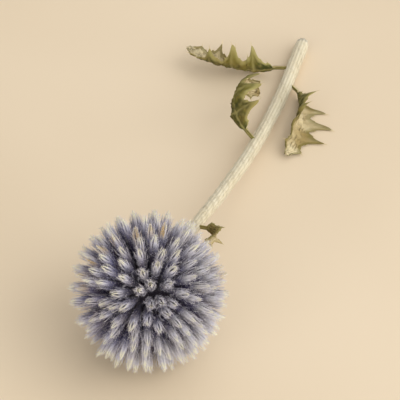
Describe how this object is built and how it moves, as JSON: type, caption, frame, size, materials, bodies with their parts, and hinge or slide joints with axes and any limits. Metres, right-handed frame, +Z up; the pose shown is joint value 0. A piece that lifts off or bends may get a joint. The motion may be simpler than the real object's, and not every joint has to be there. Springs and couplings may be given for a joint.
{
  "type": "globe thistle flower head",
  "caption": "Dried globe thistle (Echinops) flower head in bud, a spiky ball on a short cut stalk with four curled leaves, lying down.",
  "frame": {"origin": "on the surface that the flower lies on, straight under the middle of the globe", "axes": "+Z up, +Y from the globe along the stalk to its cut end, +X to the right as seen along +Y"},
  "size_m": [0.0408, 0.134, 0.0376],
  "materials": {
    "florets": "dry bracts, lavender grey with pale yellow-green tips",
    "stalk": "dry, ribbed and white-woolly",
    "leaf": "dry, olive green above and white-felted below"
  },
  "bodies": {
    "root": {"flower_head": "florets", "stalk": "stalk", "leaf_upper": "leaf", "leaf_left": "leaf", "leaf_right": "leaf", "leaf_lower": "leaf"}
  },
  "joints": []
}
